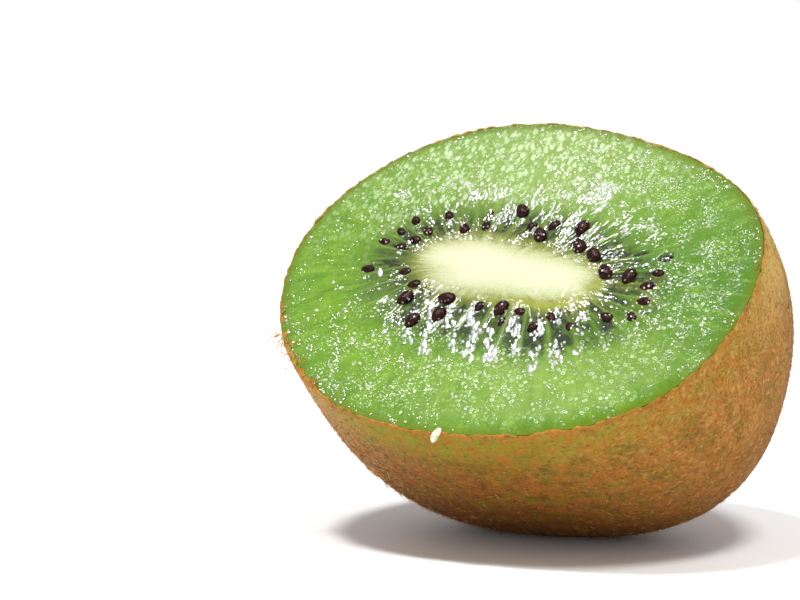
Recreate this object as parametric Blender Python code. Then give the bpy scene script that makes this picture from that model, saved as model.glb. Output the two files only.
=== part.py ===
"""Half of a kiwifruit, cut across the middle and lying on its side with the cut face up. Metres, +Z up."""

import math

import bmesh
import bpy
import numpy
from mathutils import Matrix, Vector

MM = 0.001

# The fruit's own frame: the cut lies in the XY plane and faces +Z, X runs along the cut's broad
# way, and the fruit hangs below it to its blossom end.
CUT_WIDTH = 52.0 * MM
CUT_THICKNESS = 43.3 * MM
LENGTH_BELOW_CUT = 33.0 * MM
WIDEST_BELOW_CUT = 6.0 * MM  # a whole fruit's girth is a little further down than this cut
SHOULDER_POWER = 2.24  # 2 is an ellipsoid, and more is a blunter end
# Lobes of the outline: how many round it, and their cosine and sine as shares of the radius.
CUT_LOBES = {3: (0.009, 0.005), 4: (-0.013, 0.0), 5: (-0.010, 0.0)}
END_LOBES = {3: (0.013, 0.006), 4: (-0.021, -0.031)}
LOBES_FADE_AT = 0.77  # share of the depth where the cut's lobes have given way to the end's
AXIS_LEAN = (0.098, 0.093)  # how the middle line drifts along X and Y for each metre of depth
AXIS_BEND = (-0.086, -0.019)  # the same, growing with depth

BUTTON_RADIUS = 2.6 * MM  # the low button of dried styles at the blossom end
BUTTON_HEIGHT = 0.8 * MM
BUTTON_RINGS = (3.2 * MM, 2.4 * MM, 1.6 * MM, 0.8 * MM)
SKIN_RINGS = 15
LAST_RING_TURN = math.radians(81)  # of the quarter circle that spaces the rings

SKIN_EDGE = 0.5 * MM  # the rind's own width at the cut
FLESH_BULGE = 0.35 * MM  # the cut flesh stands proud of the rind by this
BULGE_AT = 0.84  # share of the way from the core to the rind
EDGE_SINK = 0.15 * MM
RIM_RING = 1.2 * MM  # a ring of the mesh this far in from the edge

CORE_LENGTH = 20.6 * MM  # along X at the cut
CORE_THICKNESS = 7.2 * MM
CORE_PLACE = (-0.6 * MM, -0.2 * MM)  # its middle, off the cut's middle
CORE_POWER = 2.3  # squarer than an ellipse
CORE_DEPTH = 25.0 * MM
CORE_TAPER = 2.5  # the larger, the further down it narrows
CORE_CROWN = 0.3 * MM
CROWN_RINGS = (1.0, 0.86, 0.62, 0.32)  # shares of the way from its middle to its edge
CORE_SIDES = 48
CORE_RINGS = 8
CORE_GAP = 0.3 * MM

CHAMBERS = 34  # seed chambers round the core
COLUMNS_EACH = 3
FURROW_DEPTH = 0.3 * MM
FURROW_REACH = 7.5 * MM  # the chambers end this far from the core
CHAMBER_RINGS = (0.9 * MM, 2.0 * MM, 3.4 * MM, 4.8 * MM, 6.2 * MM)

SEED_SIZE = (1.95 * MM, 1.35 * MM, 0.95 * MM)
SEED_SIDES = 6
SEED_RINGS = 4
SEED_POINT = 0.3  # the inner end is narrower than the outer by this share
SUNKEN_RISE = (-0.24 * MM, -0.06 * MM)  # of a seed's middle above the cut
SUNKEN_SCALE = (0.66, 0.86)
DRAW = 271222  # seed of the random draw
PROUD_RISE = 0.1 * MM
PROUD_SCALE = 1.02
# The large seeds that the knife left standing out: X and Y in millimetres, and the turn in degrees.
PROUD_SEEDS = (
    (12.8, 1.8, 85),
    (10.1, 1.9, -48),
    (7.9, 3.8, -50),
    (5.9, 4.6, -55),
    (5.0, 7.0, 85),
    (1.0, 5.2, -60),
    (-2.6, 8.0, -45),
    (-9.0, -6.2, 60),
    (-6.6, -8.8, 80),
    (-4.2, -7.4, 85),
    (-4.5, -5.2, 10),
    (1.9, -5.1, 80),
)
# The smaller ones that lie half in their chambers, from the right round to the right again.
SUNKEN_SEEDS = (
    (15.1, 1.2, 15),
    (15.4, 3.0, 5),
    (1.7, 6.9, 80),
    (-0.6, 6.2, 75),
    (-5.6, 5.3, -70),
    (-5.9, 7.1, -60),
    (-7.8, 4.4, -60),
    (-10.5, 5.8, -50),
    (-11.8, 3.3, -30),
    (-13.9, 4.3, -50),
    (-12.5, 1.7, 0),
    (-14.8, 2.5, -35),
    (-13.6, 0.4, 5),
    (-15.9, 0.7, 0),
    (-11.1, -2.8, 25),
    (-15.5, -3.4, 10),
    (-9.2, -4.1, 35),
    (-0.6, -5.3, 80),
    (2.8, -6.6, 80),
    (3.9, -4.9, 0),
    (6.2, -6.5, 70),
    (7.3, -4.8, -50),
    (9.8, -5.4, -45),
    (12.9, -3.5, -20),
    (15.3, -2.9, -45),
    (15.6, -0.7, 10),
)

CUT_SLOPE = math.radians(44.5)  # the cut's tilt from level
ROLL = math.radians(-11.6)  # the fruit's turn about its own axis
FLAT_DEPTH = 0.35 * MM  # ripe fruit settles into a small flat spot


def clear_scene():
    for thing in list(bpy.data.objects):
        bpy.data.objects.remove(thing, do_unlink=True)


def finish(name, colour, roughness):
    material = bpy.data.materials.new(name)
    material.use_nodes = True
    shader = material.node_tree.nodes["Principled BSDF"]
    shader.inputs["Base Color"].default_value = (*colour, 1.0)
    shader.inputs["Roughness"].default_value = roughness
    shader.inputs["Metallic"].default_value = 0.0
    return material


def smoothstep(low, high, value):
    share = min(max((value - low) / (high - low), 0.0), 1.0)
    return share * share * (3.0 - 2.0 * share)


def lobes(table, angle):
    return sum(c * math.cos(n * angle) + s * math.sin(n * angle) for n, (c, s) in table.items())


def signed_power(value, power):
    return math.copysign(abs(value) ** power, value)


def girth(depth):
    """The cross-section's size at a depth, as a share of the section at the cut."""
    reach = LENGTH_BELOW_CUT - WIDEST_BELOW_CUT

    def share(at):
        ratio = min(abs(at - WIDEST_BELOW_CUT) / reach, 1.0)
        return (1.0 - ratio**SHOULDER_POWER) ** (1.0 / SHOULDER_POWER)

    return share(depth) / share(0.0)


def skin_point(depth, angle):
    """A point of the skin: a lobed ellipse about a middle line that leans and bends."""
    share = depth / LENGTH_BELOW_CUT
    near_cut = 1.0 - smoothstep(0.0, LOBES_FADE_AT, share)
    swell = girth(depth) * (
        1.0 + near_cut * lobes(CUT_LOBES, angle) + (1.0 - near_cut) * lobes(END_LOBES, angle)
    )
    x = swell * CUT_WIDTH / 2 * math.cos(angle) + depth * (AXIS_LEAN[0] + AXIS_BEND[0] * share)
    y = swell * CUT_THICKNESS / 2 * math.sin(angle) + depth * (AXIS_LEAN[1] + AXIS_BEND[1] * share)
    button = BUTTON_HEIGHT * math.exp(-((girth(depth) * CUT_WIDTH / 2 / BUTTON_RADIUS) ** 4))
    return Vector((x, y, -depth - button))


def core_point(angle, depth=0.0, margin=0.0):
    """A point of the core's side: a squarish ellipse that tapers towards the blossom end."""
    share = min(depth / (CORE_DEPTH + margin), 1.0)
    taper = math.sqrt(max(1.0 - share**CORE_TAPER, 0.0))
    x = (CORE_LENGTH / 2 + margin) * taper * signed_power(math.cos(angle), 2.0 / CORE_POWER)
    y = (CORE_THICKNESS / 2 + margin) * taper * signed_power(math.sin(angle), 2.0 / CORE_POWER)
    middle = Vector((*CORE_PLACE, 0.0)) + depth * Vector((*AXIS_LEAN, -1.0))
    return middle + Vector((x, y, 0.0))


def cut_point(distance, angle, column=None):
    """A point of the cut face, a distance out from the core along a fibre.

    With a column given, the chambers are furrows between their walls.
    """
    inner = core_point(angle)
    outer = skin_point(0.0, angle)
    fibre = (outer - inner).length
    share = distance / fibre
    point = inner.lerp(outer, share)
    bulge = math.sin(math.pi * min(share / BULGE_AT, 1.0) / 2) ** 2
    height = FLESH_BULGE * bulge
    skin_at = (fibre - SKIN_EDGE) / fibre
    height -= (FLESH_BULGE + EDGE_SINK) * smoothstep(BULGE_AT, skin_at, share)
    height += EDGE_SINK * smoothstep(skin_at, 1.0, share)
    if column is not None:
        on_wall = column % COLUMNS_EACH == 0
        along = math.sin(math.pi * min(distance / FURROW_REACH, 1.0))
        height -= 0.0 if on_wall else FURROW_DEPTH * along
    point.z = height
    return point


def loft(mesh, rings, closed_end=None, material=0):
    """Quads between rings of points, and a fan to closed_end where it is given."""
    loops = [[mesh.verts.new(p) for p in ring] for ring in rings]
    faces = []
    for near, far in zip(loops, loops[1:]):
        for i in range(len(near)):
            j = (i + 1) % len(near)
            faces.append(mesh.faces.new((near[i], far[i], far[j], near[j])))
    if closed_end is not None:
        tip = mesh.verts.new(closed_end)
        last = loops[-1]
        for i in range(len(last)):
            faces.append(mesh.faces.new((last[i], tip, last[(i + 1) % len(last)])))
    for face in faces:
        face.material_index = material
        face.smooth = True
    return loops


def as_object(name, mesh, materials):
    """Welds the lofts' shared rings, points the faces outwards and makes the object."""
    bmesh.ops.remove_doubles(mesh, verts=mesh.verts, dist=0.005 * MM)
    bmesh.ops.recalc_face_normals(mesh, faces=mesh.faces)
    data = bpy.data.meshes.new(name)
    mesh.to_mesh(data)
    mesh.free()
    for material in materials:
        data.materials.append(material)
    thing = bpy.data.objects.new(name, data)
    bpy.context.collection.objects.link(thing)
    return thing


def angles(count):
    return [2 * math.pi * i / count for i in range(count)]


def skin_depths():
    """Depths of the skin's rings, from the cut to near the tip, closer together where the end curves in."""
    reach = LENGTH_BELOW_CUT - WIDEST_BELOW_CUT
    first = -math.asin((WIDEST_BELOW_CUT / reach) ** (SHOULDER_POWER / 2))
    turns = [first + (LAST_RING_TURN - first) * i / (SKIN_RINGS - 1) for i in range(SKIN_RINGS)]
    body = [WIDEST_BELOW_CUT + reach * signed_power(math.sin(t), 2.0 / SHOULDER_POWER) for t in turns]
    shares = [radius / (CUT_WIDTH / 2) / girth(WIDEST_BELOW_CUT) for radius in BUTTON_RINGS]
    button = [(1.0 - share**SHOULDER_POWER) ** (1.0 / SHOULDER_POWER) for share in shares]
    return [0.0] + body[1:] + [WIDEST_BELOW_CUT + reach * b for b in button]


def core_depths(margin=0.0):
    """Depths of the rings down the core, or down the hollow round it, closer together near the end."""
    return [(CORE_DEPTH + margin) * math.sin(math.pi / 2 * k / CORE_RINGS) for k in range(1, CORE_RINGS)]


def cut_distances(angle):
    """Where the cut face's rings cross a fibre: in the chambers, to the bulge, then at the rind."""
    fibre = (skin_point(0.0, angle) - core_point(angle)).length
    beyond = [FURROW_REACH + (fibre * BULGE_AT - FURROW_REACH) * k / 2 for k in (1, 2)]
    return [CORE_GAP, *CHAMBER_RINGS, FURROW_REACH, *beyond, fibre - RIM_RING, fibre - SKIN_EDGE]


def make_flesh(flesh_finish, skin_finish, seed_finish):
    """The fruit in its skin, hollow where the core goes."""
    mesh = bmesh.new()
    turns = angles(CHAMBERS * COLUMNS_EACH)
    rows = zip(*[[cut_point(d, a, i) for d in cut_distances(a)] for i, a in enumerate(turns)])
    face = [list(row) for row in rows]
    rim = [skin_point(0.0, a) for a in turns]
    loft(mesh, face)
    loft(mesh, [face[-1], rim], material=1)
    skin = [[skin_point(d, a) for a in turns] for d in skin_depths()]
    loft(mesh, skin, closed_end=skin_point(LENGTH_BELOW_CUT, 0.0), material=1)
    cavity = [[core_point(a, d, CORE_GAP) for a in turns] for d in core_depths(CORE_GAP)]
    loft(mesh, [face[0]] + cavity, closed_end=core_point(0.0, CORE_DEPTH + CORE_GAP, CORE_GAP))
    return as_object("flesh", mesh, [flesh_finish, skin_finish, seed_finish])


def make_core(core_finish):
    """The pale middle, crowned a little at the cut and running down inside the flesh."""
    mesh = bmesh.new()
    turns = angles(CORE_SIDES)
    middle = Vector((*CORE_PLACE, 0.0))
    edge = [core_point(a) for a in turns]
    crown = []
    for share in CROWN_RINGS:
        rise = Vector((0.0, 0.0, CORE_CROWN * (1.0 - share**3)))
        crown.append([middle.lerp(p, share) + rise for p in edge])
    loft(mesh, crown, closed_end=middle + Vector((0.0, 0.0, CORE_CROWN)))
    side = [[core_point(a, d) for a in turns] for d in core_depths()]
    loft(mesh, [edge] + side, closed_end=core_point(0.0, CORE_DEPTH))
    return as_object("core", mesh, [core_finish])


def seed_places():
    """(x, y, turn, scale, rise) of each seed; the sunken ones draw their scale and rise."""
    places = [(x * MM, y * MM, math.radians(t), PROUD_SCALE, PROUD_RISE) for x, y, t in PROUD_SEEDS]
    draws = numpy.random.default_rng(DRAW).random((len(SUNKEN_SEEDS), 2))
    for (x, y, turn), draw in zip(SUNKEN_SEEDS, draws):
        scale, rise = (low + (high - low) * d for (low, high), d in zip((SUNKEN_SCALE, SUNKEN_RISE), draw))
        places.append((x * MM, y * MM, math.radians(turn), scale, rise))
    return places


def make_seed(name, x, y, turn, scale, rise, seed_finish):
    """A small flattened drop, narrower at its inner end."""
    mesh = bmesh.new()
    bmesh.ops.create_uvsphere(mesh, u_segments=SEED_SIDES, v_segments=SEED_RINGS, radius=0.5)
    bmesh.ops.transform(mesh, matrix=Matrix.Rotation(math.pi / 2, 4, "Y"), verts=mesh.verts)
    for corner in mesh.verts:
        corner.co.y *= 1.0 + SEED_POINT * corner.co.x
    stretch = Matrix.Diagonal((*(side * scale for side in SEED_SIZE), 1.0))
    place = Matrix.Translation((x, y, rise)) @ Matrix.Rotation(turn, 4, "Z")
    bmesh.ops.transform(mesh, matrix=place @ stretch, verts=mesh.verts)
    data = bpy.data.meshes.new(name)
    mesh.to_mesh(data)
    mesh.free()
    data.materials.append(seed_finish)
    return bpy.data.objects.new(name, data)


def make_seeds(seed_finish):
    """All the seeds, gathered in one collection so that a single union takes them."""
    crop = bpy.data.collections.new("seeds")
    bpy.context.scene.collection.children.link(crop)
    for number, place in enumerate(seed_places()):
        crop.objects.link(make_seed(f"seed_{number}", *place, seed_finish))
    return crop


def apply_boolean(thing, operation, **operand):
    """A Boolean against an object or a collection, applied at once."""
    cut = thing.modifiers.new(operation.lower(), "BOOLEAN")
    cut.operation = operation
    cut.solver = "EXACT"
    cut.material_mode = "TRANSFER"
    for key, value in operand.items():
        setattr(cut, key, value)
    bpy.context.view_layer.update()
    baked = bpy.data.meshes.new_from_object(thing.evaluated_get(bpy.context.evaluated_depsgraph_get()))
    thing.modifiers.remove(cut)
    thing.data = baked


def fuse_seeds(flesh, crop):
    apply_boolean(flesh, "UNION", operand_type="COLLECTION", collection=crop)
    for seed in list(crop.objects):
        bpy.data.objects.remove(seed, do_unlink=True)
    bpy.data.collections.remove(crop)


def corners(*things):
    """The lowest and highest corner of the things in the world."""
    bpy.context.view_layer.update()
    points = [t.matrix_world @ v.co for t in things for v in t.data.vertices]
    low = Vector(min(p[i] for p in points) for i in range(3))
    high = Vector(max(p[i] for p in points) for i in range(3))
    return low, high


def lay_on_side(*things):
    """Parents the things to a roll about the fruit's axis, inside a lean that lays the fruit over."""
    lean = bpy.data.objects.new("lean", None)
    roll = bpy.data.objects.new("roll", None)
    for empty in (lean, roll):
        bpy.context.collection.objects.link(empty)
    lean.rotation_euler.x = CUT_SLOPE
    roll.rotation_euler.z = ROLL
    roll.parent = lean
    for thing in things:
        thing.parent = roll
    return lean


def flatten_underside(flesh):
    """Takes off what lies below a level plane just above the fruit's lowest point."""
    low, _ = corners(flesh)
    size = 4 * CUT_WIDTH
    data = bpy.data.meshes.new("table")
    block = bmesh.new()
    bmesh.ops.create_cube(block, size=size)
    block.to_mesh(data)
    block.free()
    table = bpy.data.objects.new("table", data)
    bpy.context.collection.objects.link(table)
    table.location.z = low.z + FLAT_DEPTH - size / 2
    table.hide_render = True
    table.display_type = "WIRE"
    data.materials.append(flesh.data.materials[1])
    apply_boolean(flesh, "DIFFERENCE", object=table)
    bpy.data.objects.remove(table, do_unlink=True)


def main():
    clear_scene()
    flesh_finish = finish("flesh", (0.23, 0.50, 0.045), 0.18)
    skin_finish = finish("skin", (0.33, 0.20, 0.07), 0.75)
    core_finish = finish("core", (0.82, 0.85, 0.52), 0.45)
    seed_finish = finish("seed", (0.022, 0.009, 0.010), 0.22)
    flesh = make_flesh(flesh_finish, skin_finish, seed_finish)
    core = make_core(core_finish)
    fuse_seeds(flesh, make_seeds(seed_finish))
    lean = lay_on_side(flesh, core)
    flatten_underside(flesh)
    low, high = corners(flesh, core)
    lean.location = (-(low.x + high.x) / 2, -(low.y + high.y) / 2, -low.z)


main()
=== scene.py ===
import itertools
import math
import bpy
import numpy as np
from mathutils import Matrix, Vector


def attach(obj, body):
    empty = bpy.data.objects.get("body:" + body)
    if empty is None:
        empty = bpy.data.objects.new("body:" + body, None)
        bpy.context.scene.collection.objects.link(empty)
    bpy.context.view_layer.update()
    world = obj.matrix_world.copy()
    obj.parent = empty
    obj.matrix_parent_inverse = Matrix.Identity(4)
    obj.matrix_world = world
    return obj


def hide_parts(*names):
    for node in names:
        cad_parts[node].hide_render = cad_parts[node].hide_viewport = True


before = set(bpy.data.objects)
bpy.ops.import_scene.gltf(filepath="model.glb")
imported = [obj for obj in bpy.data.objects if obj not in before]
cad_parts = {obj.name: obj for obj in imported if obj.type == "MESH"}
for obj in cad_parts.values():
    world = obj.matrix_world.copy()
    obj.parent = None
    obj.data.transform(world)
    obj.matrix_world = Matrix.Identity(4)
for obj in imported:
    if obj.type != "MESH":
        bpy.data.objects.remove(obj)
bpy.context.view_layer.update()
print("frame loaded:", ", ".join(sorted(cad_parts)))

# The fruit's own frame is in millimetres: the cut lies in its XY plane and faces +Z, X runs the
# cut's broad way, and depth goes down from the cut to the blossom end.
mm = 0.001
fruit = {
    "width": 52.0,
    "thickness": 43.3,
    "depth": 33.0,
    "widestDepth": 6.0,
    "shoulderPower": 2.24,
    "lean": (0.098, 0.093),
    "bend": (-0.086, -0.019),
    "lobesFadeAt": 0.77,
    "buttonRadius": 2.6,
    "buttonHeight": 0.8,
    "cutLobes": {3: (0.009, 0.005), 4: (-0.013, 0.0), 5: (-0.010, 0.0)},
    "endLobes": {3: (0.013, 0.006), 4: (-0.021, -0.031)},
    "coreLength": 20.6,
    "coreThickness": 7.2,
    "corePlace": (-0.6, -0.2),
    "corePower": 2.3,
    "coreDepth": 25.0,
    "coreTaper": 2.5,
    "slope": 44.5,  # of the cut, in degrees
    "roll": -11.6,  # about the fruit's own axis
    "cutMiddle": (-0.6218, -7.7637, 27.8272),  # where the cut's middle lies in the part
}
partTurn = np.array(Matrix.Rotation(math.radians(fruit["slope"]), 3, "X")
                    @ Matrix.Rotation(math.radians(fruit["roll"]), 3, "Z"))
upward = partTurn[2]  # off the table, seen from the fruit's own frame


# A soft step: 0 below low, 1 above high, and an S between.
def softStep(low, high, value):
    share = np.clip((value - low) / (high - low), 0.0, 1.0)
    return share * share * (3.0 - 2.0 * share)


# The value that lies a share of the way along a span.
def between(span, share):
    return span[0] + (span[1] - span[0]) * share


# A sum of cosines and sines round the outline.
def lobes(table, angle):
    return sum(c * np.cos(n * angle) + s * np.sin(n * angle) for n, (c, s) in table.items())


# A power that keeps the sign.
def signedPower(value, power):
    return np.sign(value) * np.abs(value) ** power


def stacked(*values):
    return np.stack(np.broadcast_arrays(*values), axis=-1)


# Vectors scaled to a length of one.
def unit(vectors):
    return vectors / np.linalg.norm(vectors, axis=-1, keepdims=True)


# x and y turned by an angle.
def turned(x, y, turn):
    return x * np.cos(turn) - y * np.sin(turn), x * np.sin(turn) + y * np.cos(turn)


# Angles spaced evenly round a full turn.
def roundTurn(count):
    return np.linspace(0.0, 2 * np.pi, count, endpoint=False)


# A column of the sines of even steps over a quarter turn, without its two ends.
def quarterSteps(count):
    return np.sin(np.pi / 2 * np.arange(1, count) / count)[:, None]


# Rings of a ball from pole to pole along X, without the poles; a power above 1 sharpens its ends.
def ballRows(rings, sides, power=1.0):
    ring = np.pi * np.arange(1, rings + 1)[:, None] / (rings + 1)
    side = roundTurn(sides)
    wide = np.sin(ring) ** power
    return stacked(-np.cos(ring), wide * np.cos(side), wide * np.sin(side))


# Luck from 0 to 1 turned into a distance off the middle of a bell, its far tail cut.
def bellLuck(luck):
    return np.sqrt(-2.0 * np.log(1.0 - 0.98 * luck))


# A surface's points by its two parameters, and how they move with each, by small steps.
def slopes(surface, first, second, step=1e-3):
    here = surface(first, second)
    onward, aside = surface(first + step, second), surface(first, second + step)
    return here, (onward - here) / step, (aside - here) / step


# The section's size at a depth as a share of the cut's: a superellipse along the fruit.
def girth(depth):
    def share(at):
        ratio = np.abs(at - fruit["widestDepth"]) / (fruit["depth"] - fruit["widestDepth"])
        return (1.0 - np.minimum(ratio, 1.0) ** fruit["shoulderPower"]) ** (1.0 / fruit["shoulderPower"])
    return share(depth) / share(0.0)


# The skin: a lobed ellipse about a middle line that leans and bends, with a low button at the end.
def skinPoint(depth, angle):
    depth, angle = np.broadcast_arrays(np.asarray(depth, float), np.asarray(angle, float))
    share = depth / fruit["depth"]
    nearEnd = softStep(0.0, fruit["lobesFadeAt"], share)
    swell = girth(depth) * (1.0 + (1.0 - nearEnd) * lobes(fruit["cutLobes"], angle)
                            + nearEnd * lobes(fruit["endLobes"], angle))
    drift = [depth * (lean + bend * share) for lean, bend in zip(fruit["lean"], fruit["bend"])]
    radius = girth(depth) * fruit["width"] / 2
    button = fruit["buttonHeight"] * np.exp(-(radius / fruit["buttonRadius"]) ** 4)
    return stacked(swell * fruit["width"] / 2 * np.cos(angle) + drift[0],
                   swell * fruit["thickness"] / 2 * np.sin(angle) + drift[1], -depth - button)


# Depth by a turn that runs from the rim to the blossom end: a power of its sine, so that even steps
# lie closer where the end curves in.
bowlReach = fruit["depth"] - fruit["widestDepth"]
rimTurn = -math.asin((fruit["widestDepth"] / bowlReach) ** (fruit["shoulderPower"] / 2))


def bowlDepth(turn):
    return fruit["widestDepth"] + bowlReach * signedPower(np.sin(turn), 2.0 / fruit["shoulderPower"])


# The core's middle line, down from the cut and a little aslant.
def coreLine(depth):
    start, way = np.array([*fruit["corePlace"], 0.0]), np.array([*fruit["lean"], -1.0])
    return start + np.asarray(depth)[..., None] * way


# How far the core's outline has drawn in at a share of its depth.
def coreTaper(share):
    return np.sqrt(np.maximum(1.0 - share ** fruit["coreTaper"], 0.0))


# The core's side: a squarish ellipse that tapers towards the blossom end.
def corePoint(angle, depth=0.0, margin=0.0):
    angle, depth = np.broadcast_arrays(np.asarray(angle, float), np.asarray(depth, float))
    taper = coreTaper(depth / (fruit["coreDepth"] + margin))
    power = 2.0 / fruit["corePower"]
    x = (fruit["coreLength"] / 2 + margin) * taper * signedPower(np.cos(angle), power)
    y = (fruit["coreThickness"] / 2 + margin) * taper * signedPower(np.sin(angle), power)
    return coreLine(depth) + stacked(x, y, 0.0)


# From the fruit's frame to the part's: rolled about its axis, laid over, moved to the cut's middle.
def toPart(points):
    return points @ partTurn.T + fruit["cutMiddle"]


# A number from 0 to 1 for each whole-numbered cell, mixed from its coordinates and a salt, which
# gives every pattern numbers of its own.
def hashed(cells, salt):
    factors = np.array([73856093, 19349663, 83492791])[: cells.shape[-1]]
    mixed = (cells.astype(np.int64) * factors).sum(-1) + salt * 982451653
    mixed = (mixed ^ (mixed >> 15)) * 2246822519 & 0xFFFFFFFF
    mixed = (mixed ^ (mixed >> 13)) * 3266489917 & 0xFFFFFFFF
    return (mixed ^ (mixed >> 16)) / 0xFFFFFFFF


# Cell numbers, with the first coordinate counted round a closed turn of that many cells.
def wrapped(cells, period):
    return np.concatenate([cells[..., :1] % period, cells[..., 1:]], axis=-1) if period else cells


# Smooth noise from -1 to 1: random values at the cells' corners, blended by soft steps.
def noise(places, salt, period=0):
    low = np.floor(places)
    share = places - low
    share = share * share * (3.0 - 2.0 * share)
    total = 0.0
    for corner in itertools.product((0, 1), repeat=places.shape[-1]):
        weight = np.prod(np.where(corner, share, 1.0 - share), axis=-1)
        total = total + weight * hashed(wrapped(low + corner, period), salt)
    return 2.0 * total - 1.0


# The same round the fruit, in a count of cells to the turn, and along a distance counted in cells.
def roundNoise(turns, count, salt, along=0.0):
    return noise(stacked(turns * count, along), salt, count)


# One point is strewn in each cell: how far the nearest one is, in cells, and its own number.
def grains(places, salt):
    low = np.floor(places)
    nearest = np.full(places.shape[:-1], 9.0)
    own = np.zeros(places.shape[:-1])
    for step in itertools.product((-1, 0, 1), repeat=places.shape[-1]):
        cell = low + step
        luck = stacked(*(hashed(cell, salt + n) for n in range(places.shape[-1])))
        spot = cell + 0.5 + 0.8 * (luck - 0.5)
        gap = np.linalg.norm(places - spot, axis=-1)
        own = np.where(gap < nearest, hashed(cell, salt + 7), own)
        nearest = np.minimum(gap, nearest)
    return nearest, own


def newObject(name, data):
    thing = bpy.data.objects.new(name, data)
    bpy.context.scene.collection.objects.link(thing)
    return thing


sharpFrom = 62.0  # degrees between faces, past which an edge is a crease


# A mesh object from points in the fruit's frame and arrays of corner numbers.
def meshPiece(name, points, faces, material, attributes, nodeName=None):
    mesh = bpy.data.meshes.new(name)
    mesh.from_pydata((toPart(points) * mm).tolist(), [], [f for part in faces for f in part.tolist()])
    for label, values in attributes.items():
        kind, field = ("FLOAT", "value") if values.ndim == 1 else ("FLOAT_VECTOR", "vector")
        layer = mesh.attributes.new(label, kind, "POINT")
        layer.data.foreach_set(field, values.astype(np.float32).ravel())
    mesh.shade_smooth()
    mesh.set_sharp_from_angle(angle=math.radians(sharpFrom))
    mesh.materials.append(material)
    piece = newObject(name, mesh)
    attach(piece, "root")
    if nodeName:
        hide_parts(nodeName)
    print(f"{name}: {len(points)} points")
    return piece


# Faces of rows of points that close round, with a fan of triangles to a pole at each end. The poles
# are the two points after the rows.
def closedFaces(rows, columns):
    row, column = np.arange(rows - 1)[:, None] * columns, np.arange(columns)
    following = (column + 1) % columns
    grid = stacked(row + column, row + columns + column, row + columns + following, row + following)
    pole, lastRow = rows * columns, (rows - 1) * columns
    return [grid.reshape(-1, 4), stacked(pole, column, following),
            stacked(lastRow + column, pole + 1, lastRow + following)]


# The same faces seen from the other side.
def turnedOver(faces):
    return [part[:, ::-1] for part in faces]


# A closed shell: rows of points from one pole to the other.
def shellPiece(name, rows, poles, material, attributes, nodeName=None):
    count, columns = rows.shape[:2]
    points = np.concatenate([rows.reshape(-1, 3), np.array(poles)])
    spread = {}
    for label, values in attributes.items():
        flat = values.reshape(count * columns, -1)
        flat = np.concatenate([flat, flat[:1], flat[-1:]])
        spread[label] = flat[:, 0] if flat.shape[1] == 1 else flat
    return meshPiece(name, points, closedFaces(count, columns), material, spread, nodeName)


# One small shape copied to many places: points are copies x corners x 3; an attribute has a value
# for each copy, or one for each corner of each copy.
def manyPiece(name, points, faces, material, attributes):
    copies, corners = points.shape[:2]
    first = np.arange(copies)[:, None, None] * corners
    shifted = [(part[None] + first).reshape(-1, part.shape[1]) for part in faces]
    spread = {}
    for label, values in attributes.items():
        own = values.shape[1:] == (corners,)
        spread[label] = values.ravel() if own else np.repeat(values, corners, axis=0)
    return meshPiece(name, points.reshape(-1, 3), shifted, material, spread)


# A shader value to reckon with: its sums, differences and products are Math nodes.
class Wire:
    def __init__(self, finish, socket):
        self.finish, self.socket = finish, socket

    def reckoned(self, operation, other, clamp=False):
        return self.finish.node("Math", {0: self, 1: other}, operation=operation, use_clamp=clamp)

    def __add__(self, other):
        return self.reckoned("ADD", other)

    def __sub__(self, other):
        return self.reckoned("SUBTRACT", other)

    def __mul__(self, other):
        return self.reckoned("MULTIPLY", other)

    # held between 0 and 1
    def clamped(self):
        return self.reckoned("ADD", 0.0, True)

    # carried from one range to another along an S, or in a straight line, and held at both ends
    def ranged(self, fromLow, fromHigh, toLow=0.0, toHigh=1.0, way="SMOOTHSTEP"):
        ends = {0: self, 1: fromLow, 2: fromHigh, 3: toLow, 4: toHigh}
        return self.finish.node("MapRange", ends, interpolation_type=way)


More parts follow.
